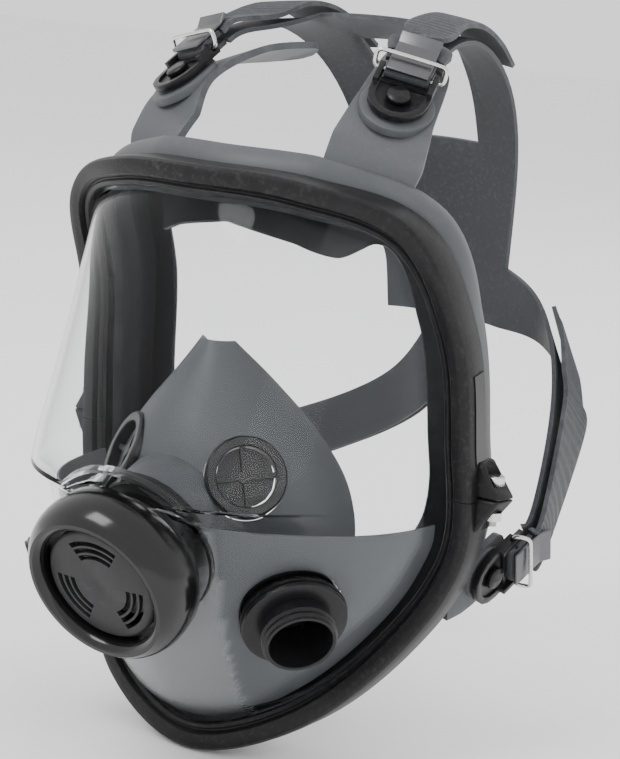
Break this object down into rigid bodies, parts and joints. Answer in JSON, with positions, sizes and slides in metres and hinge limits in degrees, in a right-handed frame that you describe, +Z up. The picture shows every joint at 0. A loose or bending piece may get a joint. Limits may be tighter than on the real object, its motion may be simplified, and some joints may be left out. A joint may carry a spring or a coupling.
{
  "type": "full face respirator",
  "caption": "Full-face respirator with wrap-round lens, clamp frame, face seal and nose cup, front speech and exhalation unit, two cartridge ports and a strapped rubber head harness.",
  "frame": {"origin": "middle of the opening that the wearer's face goes into, on the plane of symmetry, 95 mm behind the lens", "axes": "+Z up towards the brow, -Y the way the wearer looks, +X the wearer's left"},
  "size_m": [0.2236, 0.2774, 0.3097],
  "materials": {
    "clear": "clear, gloss, a frosted panel by the wearer's left cheek",
    "rubber_black": "satin, ridged, lightly scuffed",
    "rubber_grey": "satin",
    "harness_rubber": "satin, dusty",
    "black_plastic": "satin moulded",
    "gloss_black": "gloss",
    "silicone": "satin",
    "steel": "bright wire"
  },
  "bodies": {
    "mask": {"lens": "clear", "frame_upper": "rubber_black", "frame_lower": "rubber_black", "housing_gasket": "rubber_black", "diaphragm_oring": "rubber_black", "facepiece": "rubber_grey", "nose_cup": "rubber_grey", "front_housing": "black_plastic", "housing_nut": "black_plastic", "speech_diaphragm": "silicone", "head_harness": "harness_rubber", "clamp_screw_left": "steel", "clamp_nut_left": "steel", "check_seat_left": "black_plastic", "port_left": "black_plastic", "port_nut_left": "black_plastic", "port_gasket_left": "rubber_black", "clamp_screw_right": "steel", "clamp_nut_right": "steel", "check_seat_right": "black_plastic", "port_right": "black_plastic", "port_nut_right": "black_plastic", "port_gasket_right": "rubber_black", "buckle_stud_upper_left": "black_plastic", "strap_tail_upper_left": "harness_rubber", "buckle_stud_upper_right": "black_plastic", "strap_tail_upper_right": "harness_rubber", "buckle_stud_lower_left": "black_plastic", "strap_tail_lower_left": "harness_rubber", "buckle_stud_lower_right": "black_plastic", "strap_tail_lower_right": "harness_rubber"},
    "cover": {"cover_ring": "gloss_black"},
    "grille": {"speech_grille": "black_plastic"},
    "exhale_valve": {"exhale_flap": "silicone"},
    "inhale_valve_left": {"inhale_flap_left": "silicone"},
    "check_valve_left": {"check_flap_left": "silicone"},
    "inhale_valve_right": {"inhale_flap_right": "silicone"},
    "check_valve_right": {"check_flap_right": "silicone"},
    "buckle_upper_left": {"buckle_frame_upper_left": "black_plastic", "strap_end_upper_left": "harness_rubber"},
    "lever_upper_left": {"buckle_lever_upper_left": "black_plastic", "buckle_wire_upper_left": "steel"},
    "buckle_upper_right": {"buckle_frame_upper_right": "black_plastic", "strap_end_upper_right": "harness_rubber"},
    "lever_upper_right": {"buckle_lever_upper_right": "black_plastic", "buckle_wire_upper_right": "steel"},
    "buckle_lower_left": {"buckle_frame_lower_left": "black_plastic", "strap_end_lower_left": "harness_rubber"},
    "lever_lower_left": {"buckle_lever_lower_left": "black_plastic", "buckle_wire_lower_left": "steel"},
    "buckle_lower_right": {"buckle_frame_lower_right": "black_plastic", "strap_end_lower_right": "harness_rubber"},
    "lever_lower_right": {"buckle_lever_lower_right": "black_plastic", "buckle_wire_lower_right": "steel"}
  },
  "joints": [
    {"name": "cover_pull", "type": "slide", "parent": "mask", "child": "cover", "axis": [0, -0.919, -0.3943], "range_m": [0, 0.025]},
    {"name": "grille_turn", "type": "hinge", "parent": "cover", "child": "grille", "pos_m": [0, -0.09583, -0.04026], "axis": [0, -0.919, -0.3943], "range_deg": [0, 30]},
    {"name": "exhale_lift", "type": "slide", "parent": "mask", "child": "exhale_valve", "axis": [0, -0.919, -0.3943], "range_m": [0, 0.0025], "stiffness_N_per_m": 50},
    {"name": "inhale_open_left", "type": "slide", "parent": "mask", "child": "inhale_valve_left", "axis": [-0.6635, 0.6065, 0.4382], "range_m": [0, 0.002], "stiffness_N_per_m": 50},
    {"name": "check_open_left", "type": "slide", "parent": "mask", "child": "check_valve_left", "axis": [-0.6145, 0.6862, -0.3891], "range_m": [0, 0.0015], "stiffness_N_per_m": 50},
    {"name": "inhale_open_right", "type": "slide", "parent": "mask", "child": "inhale_valve_right", "axis": [0.6635, 0.6065, 0.4382], "range_m": [0, 0.002], "stiffness_N_per_m": 50},
    {"name": "check_open_right", "type": "slide", "parent": "mask", "child": "check_valve_right", "axis": [0.6145, 0.6862, -0.3891], "range_m": [0, 0.0015], "stiffness_N_per_m": 50},
    {"name": "swivel_upper_left", "type": "hinge", "parent": "mask", "child": "buckle_upper_left", "pos_m": [0.05154, -0.00875, 0.13858], "axis": [0.3614, -0.4991, 0.7876], "range_deg": [-12, 12]},
    {"name": "lever_lift_upper_left", "type": "hinge", "parent": "buckle_upper_left", "child": "lever_upper_left", "pos_m": [0.05154, -0.00152, 0.15104], "axis": [0.9164, 0.3461, -0.2012], "range_deg": [0, 35]},
    {"name": "swivel_upper_right", "type": "hinge", "parent": "mask", "child": "buckle_upper_right", "pos_m": [-0.05154, -0.00875, 0.13858], "axis": [-0.3614, -0.4991, 0.7876], "range_deg": [-12, 12]},
    {"name": "lever_lift_upper_right", "type": "hinge", "parent": "buckle_upper_right", "child": "lever_upper_right", "pos_m": [-0.05154, -0.00152, 0.15104], "axis": [0.9164, -0.3461, 0.2012], "range_deg": [0, 35]},
    {"name": "swivel_lower_left", "type": "hinge", "parent": "mask", "child": "buckle_lower_left", "pos_m": [0.09146, 0.02988, -0.05333], "axis": [0.9724, -0.0807, -0.2191], "range_deg": [-12, 12]},
    {"name": "lever_lift_lower_left", "type": "hinge", "parent": "buckle_lower_left", "child": "lever_lower_left", "pos_m": [0.09981, 0.04056, -0.04848], "axis": [-0.1499, 0.5035, -0.8509], "range_deg": [0, 35]},
    {"name": "swivel_lower_right", "type": "hinge", "parent": "mask", "child": "buckle_lower_right", "pos_m": [-0.09146, 0.02988, -0.05333], "axis": [-0.9724, -0.0807, -0.2191], "range_deg": [-12, 12]},
    {"name": "lever_lift_lower_right", "type": "hinge", "parent": "buckle_lower_right", "child": "lever_lower_right", "pos_m": [-0.09981, 0.04056, -0.04848], "axis": [-0.1499, -0.5035, 0.8509], "range_deg": [0, 35]}
  ]
}
